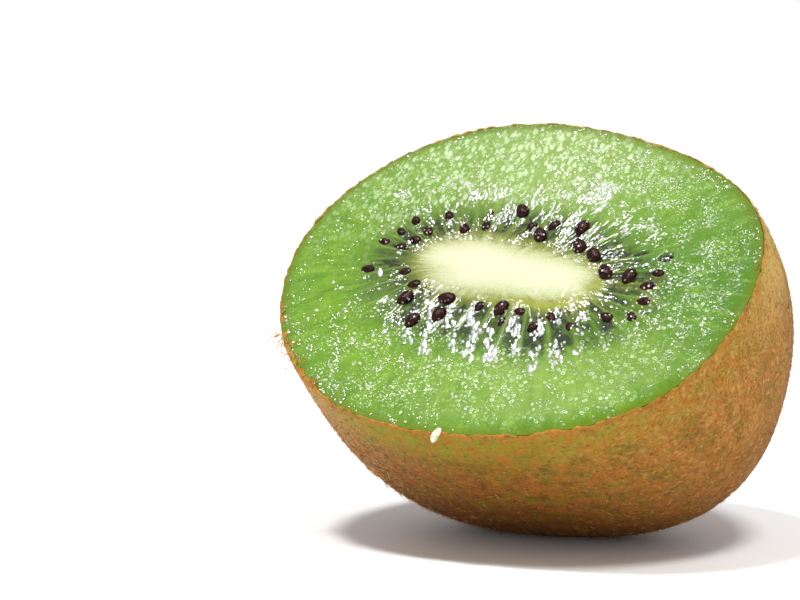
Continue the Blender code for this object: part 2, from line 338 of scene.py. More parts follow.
# The shader nodes of a material or a world, with its look's colours and the colour painted so far.
class Finish:
    def __init__(self, owner, look=None, colour=None):
        owner.use_nodes = True
        self.owner, self.tree, self.look, self.colour = owner, owner.node_tree, look, colour

    # a node: values set or link its inputs, settings its properties; gives a wire for each output
    def node(self, kind, values, *outputs, **settings):
        node = self.tree.nodes.new("ShaderNode" + kind)
        for label, value in settings.items():
            setattr(node, label, value)
        for label, value in values.items():
            if isinstance(value, Wire):
                self.tree.links.new(value.socket, node.inputs[label])
            else:
                node.inputs[label].default_value = value
        wires = [Wire(self, node.outputs[output]) for output in outputs or (0,)]
        return wires if len(wires) > 1 else wires[0]

    # an attribute of the mesh
    def mark(self, name, output="Fac"):
        return self.node("Attribute", {}, output, attribute_name=name)

    def scaled(self, where, scale):
        return self.node("Mapping", {"Vector": where, "Scale": scale})

    # noise along Object coordinates, or a mark, in grains of a size in millimetres
    def speckle(self, size, detail=2.0, roughness=0.5, stretch=(1.0, 1.0, 1.0), where=None):
        where = where or self.node("TexCoord", {}, "Object")
        where = self.scaled(where, [s / (size * mm) for s in stretch])
        values = {"Vector": where, "Scale": 1.0, "Detail": detail, "Roughness": roughness}
        return self.node("TexNoise", values, "Fac")

    # noise drawn out along the fibres: their mark holds the cosine and sine of the turn, and the
    # distance out in millimetres
    def streaks(self, across, along, detail=2.0):
        where = self.scaled(self.mark("fibre", "Vector"), (across, across, along))
        return self.node("TexNoise", {"Vector": where, "Scale": 1.0, "Detail": detail}, "Fac")

    # soft dots, one to a cell of a size in millimetres, kept in a share of the cells; a hole makes
    # rings of them where the mesh is ringed, and long_ draws them out along Y and Z
    def strewn(self, size, share, radius, hole=0.0, long_=1.0):
        scale = np.array([1.0, 1.0 / long_, 1.0 / long_]) / (size * mm)
        where = self.scaled(self.node("TexCoord", {}, "Object"), scale)
        gap, lot = self.node("TexVoronoi", {"Vector": where, "Scale": 1.0}, "Distance", "Color")
        lot, strength = self.node("SeparateColor", {"Color": lot}, "Red", "Green")
        dot = gap.ranged(radius, radius * 0.55)
        if hole:
            inner = gap.ranged(radius * 0.75, radius * 0.35, 0.0, hole) * self.mark("ringed")
            dot = (dot - inner).clamped()
        return dot * lot.ranged(1.0 - share - 0.1, 1.0 - share + 0.1) * (strength * 0.7 + 0.3)

    def bump(self, height, strength, distance):
        return self.node("Bump", {"Height": height, "Strength": strength, "Distance": distance * mm})

    # a colour looked up along a row of stops, given as place: colour
    def stops(self, value, stops):
        wire = self.node("ValToRGB", {"Fac": value})
        ramp = wire.socket.node.color_ramp
        places = sorted(stops)
        for _ in places[2:]:
            ramp.elements.new(0.5)
        for element, place in zip(ramp.elements, places):
            element.position = place
        for element, place in zip(ramp.elements, places):
            element.color = (*stops[place], 1.0)
        return wire

    # a colour by its name in the look, or one that is a wire already
    def named(self, colour):
        return colour if isinstance(colour, Wire) else (*self.look[colour], 1.0)

    # one colour over another by a share
    def over(self, base, colour, share, way="MIX"):
        values = {0: share, 6: self.named(base), 7: self.named(colour)}
        return self.node("Mix", values, 2, data_type="RGBA", blend_type=way)

    # a colour laid over all that is painted so far
    def paint(self, colour, share, way="MIX"):
        self.colour = self.over(self.colour, colour, share, way)

    # a colour laid where the mark of the same name is
    def paintMark(self, name, strength):
        self.paint(name, self.mark(name) * strength)

    # ends the material with its shader, and gives the material
    def shaded(self, values):
        shader = self.node("BsdfPrincipled", {"Base Color": self.named(self.colour), **values})
        output = self.tree.nodes.new("ShaderNodeOutputMaterial")
        self.tree.links.new(shader.socket, output.inputs["Surface"])
        return self.owner


def newFinish(name, look, colour=None):
    finish = Finish(bpy.data.materials.new(name), look, colour)
    finish.tree.nodes.clear()
    return finish


# Camera and light

camera = {
    "place": (68.696, -173.743, 33.369),  # millimetres, in the part's frame
    "heading": (-0.4407, 0.8977),
    "down": 2.75,  # degrees
    "lens": 80.34,
    "sensor": 36.0,
}
studio = {
    "lights": {  # towards, strength, and how wide it looks in degrees
        "left": ((-0.14, -0.30, 1.0), 2.5, 8.0),
        "right": ((0.32, -0.30, 1.0), 1.9, 13.0),
    },
    "horizon": 1.06,
    "overhead": 0.45,
    "fadeBetween": (0.14, 0.5),  # of the sky, as heights on its unit dome
    "floorSize": 6.0,
    "floorColour": (0.93, 0.93, 0.93),
}


def makeCamera():
    data = bpy.data.cameras.new("camera")
    data.lens = camera["lens"]
    data.sensor_width = camera["sensor"]
    data.clip_start = 0.01
    thing = newObject("camera", data)
    down = math.radians(camera["down"])
    looking = Vector((*(math.cos(down) * h for h in camera["heading"]), -math.sin(down)))
    thing.location = Vector(camera["place"]) * mm
    thing.rotation_euler = looking.to_track_quat("-Z", "Y").to_euler()
    bpy.context.scene.camera = thing


def makeStudio():
    for name, (towards, strength, width) in studio["lights"].items():
        data = bpy.data.lights.new(name, "SUN")
        data.energy = strength
        data.angle = math.radians(width)
        newObject(name, data).rotation_euler = Vector(towards).to_track_quat("Z", "Y").to_euler()
    world = bpy.data.worlds.new("studio")
    sky = Finish(world)
    height = sky.node("SeparateXYZ", {"Vector": sky.node("TexCoord", {}, "Generated")}, "Z")
    strength = height.ranged(*studio["fadeBetween"], studio["horizon"], studio["overhead"])
    background = sky.tree.nodes["Background"].inputs
    background["Color"].default_value = (1.0, 1.0, 1.0, 1.0)
    sky.tree.links.new(strength.socket, background["Strength"])
    bpy.context.scene.world = world
    half = studio["floorSize"] / 2
    corners = [(-half, -half, 0), (half, -half, 0), (half, half, 0), (-half, half, 0)]
    mesh = bpy.data.meshes.new("floor")
    mesh.from_pydata(corners, [], [(0, 1, 2, 3)])
    mesh.materials.append(newFinish("floor", studio, "floorColour").shaded({"Roughness": 0.55}))
    floor = newObject("floor", mesh)
    bpy.context.scene.view_settings.view_transform = "Standard"


makeCamera()
makeStudio()
print("camera and light made")

# Seeds: the proud ones, and the smaller ones that lie half in their chambers.

seeds = {
    "size": (1.95, 1.35, 0.95),
    "point": 0.42,  # the inner end is narrower than the outer by this share
    "proudRise": 0.1,
    "proudScale": 1.02,
    "sunkenRise": (-0.24, -0.06),
    "sunkenScale": (0.66, 0.86),
    "draw": 271222,
    "sides": 16,
    "rings": 10,
    "pitSize": 0.26,
    "pitDepth": 0.03,
    "colour": (0.007, 0.001, 0.0008),
    "flush": (0.036, 0.005, 0.003),
    "glint": (0.78, 0.76, 0.74),
}
proudSeeds = (  # x and y in millimetres, and the turn in degrees
    (12.8, 1.8, 85), (10.1, 1.9, -48), (7.9, 3.8, -50), (5.9, 4.6, -55), (5.0, 7.0, 85), (1.0, 5.2, -60),
    (-2.6, 8.0, -45), (-9.0, -6.2, 60), (-6.6, -8.8, 80), (-4.2, -7.4, 85), (-4.5, -5.2, 10),
    (1.9, -5.1, 80),
)
sunkenSeeds = (
    (15.1, 1.2, 15), (15.4, 3.0, 5), (1.7, 6.9, 80), (-0.6, 6.2, 75), (-5.6, 5.3, -70), (-5.9, 7.1, -60),
    (-7.8, 4.4, -60), (-10.5, 5.8, -50), (-11.8, 3.3, -30), (-13.9, 4.3, -50), (-12.5, 1.7, 0),
    (-14.8, 2.5, -35), (-13.6, 0.4, 5), (-15.9, 0.7, 0), (-11.1, -2.8, 25), (-15.5, -3.4, 10),
    (-9.2, -4.1, 35), (-0.6, -5.3, 80), (2.8, -6.6, 80), (3.9, -4.9, 0), (6.2, -6.5, 70),
    (7.3, -4.8, -50), (9.8, -5.4, -45), (12.9, -3.5, -20), (15.3, -2.9, -45), (15.6, -0.7, 10),
)

cut = {
    "skinEdge": 0.6,
    "bulge": 0.05,
    "bulgeAt": 0.7,
    "edgeSink": 0.02,
    "crown": 0.3,
    "chambers": 34,
    "furrowDepth": 0.20,
    "reach": 6.6,  # of the chambers, out from the core, and how it changes round the fruit
    "reachLobes": {1: (1.3, -1.5), 2: (0.3, 0.2)},
    "reachLuck": 1.3,
    "shorterAt": (33.0, 20.0),  # turn and spread
    "shorter": 1.8,
    "openness": (0.42, 1.0),  # of the chambers, from the tightest to the widest
    "furrowWander": 0.42,  # of a chamber's width
    "furrowBend": 9.0,  # millimetres to a bend
    "ridges": 150,
    "ridgeLength": 1.5,
    "ridgeHeight": 0.016,
    "fineGrain": 0.17,
    "fineHeight": 0.006,
    "swellSize": 3.2,
    "swellHeight": 0.045,
    "fringeAt": (325.0, 60.0),  # turn and spread
    "haloAt": (0.0, 14.0),
    "seamAt": 8.6,  # the seed zone ends and the outer flesh begins this far from the core
}
# the openings' darkness is painted shade
hollows = (  # x, y, turn, half-length, half-width and depth of dark openings beside the core
    (15.3, 5.1, 30, 0.8, 0.6, 0.35), (12.55, 5.0, 35, 0.95, 0.27, 0.22),
)
# the dew's pale dots are painted highlights
dewGlintPatches = (  # turn, spread, from and to in mm out, and how thick the fine dew lies
    (45, 34, 7, 40, 0.8), (92, 34, 6, 40, 1.2), (245, 26, 4, 40, 1.0), (285, 34, 6, 40, 1.3),
    (140, 30, 6, 40, 0.9), (328, 26, 6, 40, 1.2), (200, 20, 13, 40, 0.5), (358, 24, 5.5, 40, 0.65),
)
shadePatches = (
    (285, 40, 1.0, 5.8, 1.0), (168, 48, 0.3, 4.2, 0.7),
)
paleShifts = (  # turn and spread in degrees, and how far the core's pale colour reaches past its edge
    (245, 22, 0.7), (205, 18, -0.5), (115, 18, 0.4), (78, 22, -0.35), (25, 14, 0.4), (282, 16, -0.2),
    (180, 12, -0.3), (0, 10, -0.3),
)
cutZones = {  # turn and spread, the distances out where a zone begins and is full, and its strength
    "calm": ((205, 36, 2.0, 5.0, 1.0),),
    # painted sheen: zones where a pale veil of reflected light is painted into the cut's colour
    "paintedSheen": ((98, 38, 3.0, 8.0, 1.0), (148, 24, 3.0, 8.0, 0.22)),
    "lowPaintedSheen": ((308, 36, 5.0, 9.0, 0.62),),
    # soft: soft painted highlight dots, over a deeper green
    "soft": ((132, 42, 3.5, 7.0, 1.0), (88, 26, 8.0, 11.0, 1.0)),
    "dim": ((8, 38, 2.5, 5.5, 1.0),),
    "dull": ((322, 30, 5.0, 9.0, 0.85), (48, 30, 7.0, 10.0, 0.5), (5, 26, 7.0, 10.0, 0.5)),
    # ringed: where the painted highlight dots are rings
    "ringed": ((312, 42, -2.0, -1.0, 1.0), (352, 34, -2.0, -1.0, 1.0)),
}


# A place on the cut, a distance out from the core's edge along a fibre, with the fibre's length.
def cutPlace(angle, distance):
    inner, outer = corePoint(angle), skinPoint(0.0, angle)
    fibre = np.linalg.norm(outer - inner, axis=-1)
    share = distance / fibre
    return inner + (outer - inner) * share[..., None], fibre


# The broad form of the cut: it swells towards the rind and dips in at its edge.
def cutSwell(distance, fibre):
    share = distance / fibre
    skinAt = (fibre - cut["skinEdge"]) / fibre
    height = cut["bulge"] * np.sin(np.pi * np.minimum(share / cut["bulgeAt"], 1.0) / 2) ** 2
    height = height - (cut["bulge"] + cut["edgeSink"]) * softStep(cut["bulgeAt"], skinAt, share)
    return height + cut["edgeSink"] * softStep(skinAt, 1.0, share)


# x, y, turn, scale and rise of every seed, as rows of one array.
def seedPlaces():
    proud, sunken = np.array(proudSeeds), np.array(sunkenSeeds)
    draws = np.random.default_rng(seeds["draw"]).random((len(sunken), 2)).T
    drawn = stacked(between(seeds["sunkenScale"], draws[0]), between(seeds["sunkenRise"], draws[1]))
    fixed = np.broadcast_to([seeds["proudScale"], seeds["proudRise"]], (len(proud), 2))
    rows = np.concatenate([np.hstack([proud, fixed]), np.hstack([sunken, drawn])])
    rows[:, 2] = np.radians(rows[:, 2])
    return rows


seedRows = seedPlaces()


# How near the nearest seed is: 1 on it, 0 a reach away from it.
def seedNearness(place, reach):
    nearest = np.full(place.shape[:-1], 99.0)
    for x, y, turn, scale, _ in seedRows:
        along, across = turned(place[..., 0] - x, place[..., 1] - y, -turn)
        nearest = np.minimum(nearest, np.hypot(along / 1.4, across) / scale)
    return 1.0 - softStep(0.5, reach, nearest)


# Seed chambers as a count round the fruit: each wall is at a whole number, wandering a little.
def chamberPhase(angle, distance):
    count = angle * cut["chambers"] / (2 * np.pi)
    wander = noise(stacked(count * 0.5, distance / cut["furrowBend"]), 11, cut["chambers"] // 2)
    return count + cut["furrowWander"] * wander


# A bell over the angle, 1 at its middle, counted the short way round in degrees.
def sector(angle, degrees, spread):
    gap = (np.degrees(angle) - degrees + 180.0) % 360.0 - 180.0
    return np.exp(-((gap / spread) ** 2))


# A sum of such bells, from rows of turn, spread and height.
def bells(rows, angle):
    return sum(height * sector(angle, turn, spread) for turn, spread, height in rows)


# The strength of each of a name's zones: a bell over the turn, times a soft step outwards.
def zones(name, angle, distance):
    return np.array([share * sector(angle, turn, spread) * softStep(begins, full, distance)
                     for turn, spread, begins, full, share in cutZones[name]])


# A patch round the fruit between two distances from the core, fading at its sides.
def patch(angle, distance, turn, spread, near, far):
    fading = 1.0 - softStep(far - 1.0, far + 1.0, distance)
    return sector(angle, turn, spread) * softStep(near - 0.6, near + 0.6, distance) * fading


# Each of a row of patches, times its share.
def patches(rows, angle, distance):
    return np.array([share * patch(angle, distance, *where) for *where, share in rows])


# The yellow fringe: on one side, from the pale middle's edge outwards.
def fringe(angle, pale):
    return sector(angle, *cut["fringeAt"]) * softStep(-0.6, 0.2, pale) * (1.0 - softStep(1.0, 2.4, pale))


# How deep in a hollow a place lies, from 0 to 1, and the dip there in millimetres.
def hollowDip(plane):
    share, dip = 0.0, 0.0
    for x, y, turn, long_, wide, deep in hollows:
        along, across = turned(plane[..., 0] - x, plane[..., 1] - y, -math.radians(turn))
        inside = 1.0 - softStep(0.65, 1.1, np.hypot(along / long_, across / wide))
        share, dip = np.maximum(share, inside), dip + deep * inside
    return share, dip


# Everything that the cut face's relief and colour share, from the turn and the distance out.
def cutFields(angle, distance):
    angle, distance = np.broadcast_arrays(angle, distance)
    place, fibre = cutPlace(angle, distance)
    plane = place[..., :2]
    rind = fibre - distance
    turns = angle / (2 * np.pi)
    phase = chamberPhase(angle, distance)
    number = stacked(np.floor(phase), 0.0)
    wallNumber = stacked(np.round(phase), 0.0)
    across = np.abs(np.sin(np.pi * phase))
    reach = cut["reach"] + lobes(cut["reachLobes"], angle)
    reach = reach + cut["reachLuck"] * noise(number * [1.0, 0.0] + 0.5, 12, cut["chambers"])
    reach = reach - cut["shorter"] * sector(angle, *cut["shorterAt"])
    inChamber = softStep(0.5, 1.8, distance) * (1.0 - softStep(0.60, 1.10, distance / reach))
    openness = between(cut["openness"], hashed(wrapped(number, cut["chambers"]), 13))
    furrow = inChamber * softStep(0.10, 0.65, across) * openness
    wall = inChamber * (1.0 - softStep(0.05, 0.30, across))
    wall = wall * hashed(wrapped(wallNumber, cut["chambers"]), 14)
    pale = distance - bells(paleShifts, angle)
    calm = zones("calm", angle, distance)[0]
    ridge = roundNoise(turns, cut["ridges"], 21, distance / cut["ridgeLength"])
    ridge = ridge + 0.4 * roundNoise(turns, cut["ridges"] * 2, 22, distance / 0.9)
    fine = noise(plane / cut["fineGrain"], 41)
    swell = noise(plane / cut["swellSize"], 51) + 0.5 * noise(plane / (cut["swellSize"] * 0.45), 52)
    away = softStep(0.0, 1.0, distance) * softStep(0.1, 0.8, rind)
    hollow, dip = hollowDip(plane)
    depth = cut["furrowDepth"] * furrow * np.sin(np.pi * np.clip(distance / reach, 0.0, 1.0)) ** 0.5
    height = cutSwell(distance, fibre) - depth
    height = height + away * cut["swellHeight"] * swell
    height = height + away * (1.0 - 0.6 * calm) * cut["ridgeHeight"] * ridge
    height = height + cut["fineHeight"] * fine - dip
    inside = softStep(0.6, 3.2, rind)
    # the dew is small bumps whose pale dots are painted highlights
    dewAndGlints = np.minimum(patches(dewGlintPatches, angle, distance).sum(0), 1.2)
    attributes = {
        "distance": distance,
        "pale": pale,
        "rind": rind,
        "wall": wall,
        "chamber": furrow,
        # painted sheen over the wet cut
        "paintedSheen": zones("paintedSheen", angle, distance).sum(0) + zones("lowPaintedSheen", angle, distance)[0] * inside,
        "dewAndGlints": dewAndGlints * softStep(-0.9, 0.5, noise(plane / 1.7, 61)) * (0.3 + 0.7 * inside),
        "ringed": zones("ringed", angle, distance).max(0),
        "soft": zones("soft", angle, distance).sum(0),
        "dim": zones("dim", angle, distance)[0],
        "dull": zones("dull", angle, distance).max(0),
        "fringe": fringe(angle, pale),
        "halo": seedNearness(plane, 1.7) * sector(angle, *cut["haloAt"]),
        "shade": patches(shadePatches, angle, distance).max(0),
        # painted shade inside the hollows
        "hollow": hollow,
        "fibre": stacked(np.cos(angle), np.sin(angle), distance),
    }
    return np.concatenate([plane, height[..., None]], axis=-1), attributes


cutLook = {
    "stops": {  # colour along the way out from the core's edge
        0.0: (0.53, 0.54, 0.375),
        0.10: (0.52, 0.53, 0.36),
        0.15: (0.44, 0.465, 0.265),
        0.20: (0.285, 0.315, 0.13),
        0.23: (0.19, 0.215, 0.055),
        0.27: (0.115, 0.145, 0.022),
        0.34: (0.090, 0.130, 0.02),
        0.48: (0.09, 0.165, 0.018),
        0.60: (0.115, 0.23, 0.016),
        0.72: (0.135, 0.26, 0.018),
        1.0: (0.115, 0.23, 0.020),
    },
    "stopsBetween": (-4.0, 16.0),  # millimetres
    "chamber": (0.023, 0.034, 0.015),
    "wall": (0.17, 0.22, 0.07),
    "halo": (0.14, 0.17, 0.015),
    "bright": (0.19, 0.33, 0.03),
    "deep": (0.065, 0.165, 0.008),
    "shade": (0.042, 0.072, 0.022),
    # painted sheen: the pale veil of the wet cut's reflection
    "paintedSheen": (0.30, 0.39, 0.13),
    "rindLine": (0.10, 0.15, 0.008),
    "rindEdge": (0.30, 0.16, 0.022),
    # painted highlight: the pale body of a glinting drop
    "gleam": (0.74, 0.81, 0.78),
    # painted shade round a drop's rim
    "edge": (0.015, 0.022, 0.024),
    # painted highlight: the pale colour of the dew's dots
    "dewAndGlints": (0.50, 0.62, 0.37),
    "dim": (0.060, 0.150, 0.016),
    "fringe": (0.26, 0.29, 0.035),
    # painted shade inside the hollows
    "hollow": (0.012, 0.012, 0.006),
}


# The cut's colour: stops from the core outwards, feathered where they begin, then streaks along the fibres,
# painted sheen, the chambers, painted shade in the hollows, the dew with its painted highlight dots, and
# the rind's edge, each over the last.
def paintCut(wet, glintDots):
    distance, pale, rind = wet.mark("distance"), wet.mark("pale"), wet.mark("rind")
    brush = (wet.streaks(14.0, 0.4) * 3.4 - 1.7) * pale.ranged(-1.6, 0.3)
    feather = wet.speckle(0.20, 3.0, 0.8) * 3.0 - 1.5 + brush
    feathered = pale + feather * distance.ranged(2.2, 0.2)
    wet.colour = wet.stops(feathered.ranged(*cutLook["stopsBetween"], way="LINEAR"), cutLook["stops"])
    wet.paint("fringe", wet.mark("fringe") * wet.speckle(1.3).ranged(0.3, 0.6, 0.3, 0.9))
    wet.paintMark("dim", 0.88)
    streak = wet.streaks(22.0, 0.22, 3.0)
    outside = distance.ranged(0.8, 4.0)
    wet.paint("bright", streak.ranged(0.50, 0.70) * outside * 0.5)
    wet.paint("deep", streak.ranged(0.48, 0.30) * outside * 0.65)
    wet.paint("deep", wet.speckle(1.1, 3.0, 0.6).ranged(0.40, 0.62) * outside * 0.35)
    wet.paint("deep", wet.mark("soft") * 0.30)
    # painted sheen where the wet cut would reflect the light
    wet.paintMark("paintedSheen", 0.5)
    wet.paint("shade", wet.mark("shade") * streak.ranged(0.30, 0.60, 0.75, 0.2))
    murk = wet.mark("chamber") * wet.streaks(11.0, 0.5, 4.0).ranged(0.38, 0.58, 0.2, 1.4)
    murk = murk * wet.speckle(0.7).ranged(0.36, 0.56, 0.45, 1.0)
    wet.paint("chamber", murk.reckoned("MINIMUM", 0.97))
    wet.paintMark("wall", 0.6)
    wet.paintMark("halo", 0.7)
    # painted shade in the hollows
    wet.paintMark("hollow", 1.0)
    # painted highlight dots
    wet.paint("dewAndGlints", (glintDots * 0.75).clamped())
    wet.paint("rindLine", rind.ranged(1.5, 0.2) * 0.8)
    wet.paint("rindEdge", rind.ranged(0.12, 0.0))


def makeWetMaterial(name, coat, subsurface, gleam=0.0):
    wet = newFinish(name, cutLook)
    # rings and soft dots are bumps whose pale colour is painted highlight, blurred glints of the wet cut
    ringed = wet.mark("ringed")
    rings = wet.strewn(0.62, 0.75, 0.40, 1.0) * ringed
    dots = wet.strewn(0.20, 0.55, 0.45) + wet.strewn(0.40, 0.35, 0.42, 0.8)
    dots = (rings * 1.6 + dots * ringed.ranged(0.2, 1.0, 1.0, 0.45)) * wet.mark("dewAndGlints")
    soft = wet.strewn(0.66, 0.7, 0.56, 0.0, 1.6) + wet.strewn(0.42, 0.6, 0.50, 0.0, 1.6)
    dots = dots + soft * wet.mark("soft") * 0.8
    bump = wet.bump(wet.speckle(0.16) + wet.speckle(0.6, 1.0) + dots, 1.0, 0.014)
    paintCut(wet, dots)
    if gleam:
        # painted highlight in the drops' colour
        wet.paintMark("gleam", gleam)
        # painted shade at the drops' rims
        wet.paintMark("edge", 0.6)
    return wet.shaded({
        "Roughness": 0.5,
        "Specular IOR Level": 0.0,
        "Normal": bump,
        "Coat Normal": bump,
        "Coat Weight": wet.mark("dull") * -coat + coat,
        "Coat Roughness": 0.14,
        "Coat IOR": 1.45,
        "Subsurface Weight": subsurface,
        "Subsurface Radius": (0.5, 1.0, 0.25),
        "Subsurface Scale": 1.2 * mm,
    })


fleshFinish = makeWetMaterial("wetFlesh", 1.0, 0.25)
coreFinish = makeWetMaterial("coreFlesh", 0.25, 0.3)
dropFinish = makeWetMaterial("wetDrops", 1.0, 0.25, 0.5)
print("finishes of the cut made")

# The flesh in two closed shells, one inside the other: the seed zone and the outer flesh.

flesh = {
    "columns": 952,
    "seedRows": 84,
    "outerRows": 84,
    "hiddenRows": 7,
    "bellyRows": 12,
    "bellyBetween": (-0.12, 0.97),  # shares of the way from the widest depth to the end
    "seamDepth": 28.5,
    "belowSkin": 0.15,  # the outer flesh ends this far inside the skin's own surface
    "halfWidth": 20.0,
    "shoulderGap": 0.008,  # more room under the shoulder, as a share of that
}


# The wall between seed zone and outer flesh: the seam's outline, tapering down with the core.
def seamPoint(angle, depth):
    angle, depth = np.broadcast_arrays(angle, depth)
    top, _ = cutPlace(angle, cut["seamAt"] + 0.0 * angle)
    return coreLine(depth) + (top - coreLine(0.0)) * coreTaper(depth / flesh["seamDepth"])[..., None]


# Attributes of the hidden walls repeat those of the edge they hang from.
def withHidden(attributes, before, after):
    spread = {}
    for label, values in attributes.items():
        first, last = np.repeat(values[:1], before, axis=0), np.repeat(values[-1:], after, axis=0)
        spread[label] = np.concatenate([first, values, last])
    return spread


def makeFlesh():
    angle = roundTurn(flesh["columns"])[None]
    hidden = quarterSteps(flesh["hiddenRows"] + 1)
    seamWall = seamPoint(angle, flesh["seamDepth"] * hidden)
    bottom = coreLine(flesh["seamDepth"])
    top, attributes = cutFields(angle, np.linspace(0.0, cut["seamAt"], flesh["seedRows"])[:, None])
    rows = np.concatenate([corePoint(angle, fruit["coreDepth"] * hidden[::-1]), top, seamWall])
    attributes = withHidden(attributes, flesh["hiddenRows"], flesh["hiddenRows"])
    poles = [coreLine(fruit["coreDepth"]), bottom]
    shellPiece("seed_zone", rows, poles, fleshFinish, attributes, "flesh")
    _, fibre = cutPlace(angle, 0.0 * angle)
    share = np.linspace(0.0, 1.0, flesh["outerRows"])[:, None]
    top, attributes = cutFields(angle, between((cut["seamAt"], fibre - flesh["belowSkin"]), share))
    share = np.linspace(*flesh["bellyBetween"], flesh["bellyRows"])[:, None]
    depth = fruit["widestDepth"] + bowlReach * share
    inset = coreLine(depth)
    gap = flesh["belowSkin"] / flesh["halfWidth"] + flesh["shoulderGap"] * softStep(2.0, 12.0, depth)
    belly = inset + (skinPoint(depth, angle) - inset) * (1.0 - gap)[..., None]
    belly[..., 2] += 2.0 * flesh["belowSkin"] * softStep(15.0, 30.0, depth)
    rows = np.concatenate([seamWall[::-1], top, belly])
    tip = skinPoint(fruit["depth"], 0.0) + [0.0, 0.0, flesh["belowSkin"] + fruit["buttonHeight"]]
    attributes = withHidden(attributes, flesh["hiddenRows"], flesh["bellyRows"])
    shellPiece("outer_flesh", rows, [bottom, tip], fleshFinish, attributes, "flesh")


makeFlesh()

core = {
    "columns": 420,
    "crownRows": 52,
    "sideRows": 12,
    "outwards": 0.8,  # the power that sets the crown's rows closer near its edge
    "grain": 0.42,
    "grainHeight": 0.02,
    "gap": 0.02,  # to the flesh round it
}


# The core: its outline, shrunk step by step, makes a low crown, and its side goes down to a point.
def makeCore():
    angle = roundTurn(core["columns"])[None]
    share = np.linspace(1.0, 0.0, core["crownRows"], endpoint=False)[::-1, None] ** core["outwards"]
    middle = coreLine(0.0)
    edge = corePoint(angle)
    plane = (middle + (edge - middle) * share[..., None])[..., :2]
    inwards = np.stack([np.linalg.norm(edge[0, :, None, :2] - row, axis=-1).min(0) for row in plane])
    height = cut["crown"] * (1.0 - share ** 3) + cut["fineHeight"] * noise(plane / cut["fineGrain"], 41)
    height = height + core["grainHeight"] * softStep(0.0, 0.6, inwards) * noise(plane / core["grain"], 71)
    top = np.concatenate([plane, height[..., None]], axis=-1)
    depth = fruit["coreDepth"] * quarterSteps(core["sideRows"])
    side = corePoint(angle, depth, -core["gap"])
    pale = -inwards - bells(paleShifts, angle)
    plain = ("wall", "chamber", "halo", "paintedSheen", "dewAndGlints", "ringed", "soft", "shade", "dim", "dull", "hollow")
    attributes = {
        **dict.fromkeys(plain, 0.0 * inwards),
        "distance": -inwards,
        "rind": 10.0 + 0.0 * inwards,
        "pale": pale,
        "fringe": fringe(angle, pale),
        "fibre": stacked(np.cos(angle), np.sin(angle), -inwards),
    }
    poles = [middle + [0.0, 0.0, cut["crown"]], coreLine(fruit["coreDepth"])]
    attributes = withHidden(attributes, 0, len(depth))
    shellPiece("core_flesh", np.concatenate([top, side]), poles, coreFinish, attributes, "core")


makeCore()


def makeSeedMaterial():
    husk = newFinish("seedCoat", seeds, "colour")
    bump = husk.bump(husk.speckle(0.20, 2.0, 0.6), 0.9, 0.08)
    husk.paint("flush", husk.speckle(0.45, 3.0, 0.6).ranged(0.35, 0.65, 0.0, 0.85))
    husk.paint("glint", husk.strewn(0.42, 0.45, 0.34) * 0.85)
    return husk.shaded({
        "Roughness": 0.45,
        "Specular IOR Level": 0.05,
        "Normal": bump,
        "Coat Normal": bump,
        "Coat Weight": 0.35,
        "Coat Roughness": 0.05,
        "Coat IOR": 1.35,
    })


# Each seed is a flattened drop: a squashed ball, narrower and sharper at one end, finely pitted.
def makeSeeds():
    ball = ballRows(seeds["rings"], seeds["sides"]).reshape(-1, 3)
    ball = np.concatenate([ball, [[-1.0, 0.0, 0.0], [1.0, 0.0, 0.0]]])
    narrow = 1.0 + seeds["point"] * ball[:, :1] * 0.5 - 0.12 * np.maximum(-ball[:, :1] - 0.4, 0.0)
    drop = ball * np.concatenate([np.ones_like(narrow), narrow, narrow ** 0.5], axis=1)
    x, y, turn, scale, rise = seedRows.T[..., None]
    sized = drop[None] * np.array(seeds["size"]) / 2 * scale[..., None]
    number = np.arange(len(seedRows))[:, None, None]
    pit = noise(sized / seeds["pitSize"] + number * 17.0, 81) * seeds["pitDepth"]
    sized = sized + ball[None] * pit[..., None]
    across, up = turned(sized[..., 0], sized[..., 1], turn)
    points = stacked(x + across, y + up, rise + sized[..., 2])
    faces = turnedOver(closedFaces(seeds["rings"], seeds["sides"]))
    manyPiece("seeds", points, faces, makeSeedMaterial(), {})


makeSeeds()

# Juice: low wet drops that stand on the cut, each one catching the light.

drops = {
    "draw": 9041,
    "tries": 60000,
    "slope": (0.10, 0.22),  # of a drop's side at its foot
    "lay": (-26.0, 11.0, 3.0),  # the drops lean this way on the cut, by so many degrees, give or take
    "rings": (0.6, 1.0),
    "sides": 8,
    "foot": 0.06,  # its underside reaches this far down, in millimetres
    "lift": 0.9,  # of the lean's rise over half its width
    "turn": 14.0,  # degrees off the fibre
    "fromRind": 0.4,
    "clusterSize": 1.1,
    "columns": (285, 42, 2.0, 9.0),  # turn, spread, from and to: here the drops run down the cut in columns
    "columnGap": 2.2,
    "columnWay": -65.0,  # degrees
    "columnPull": 9.0,  # of that way against the fibre's
}
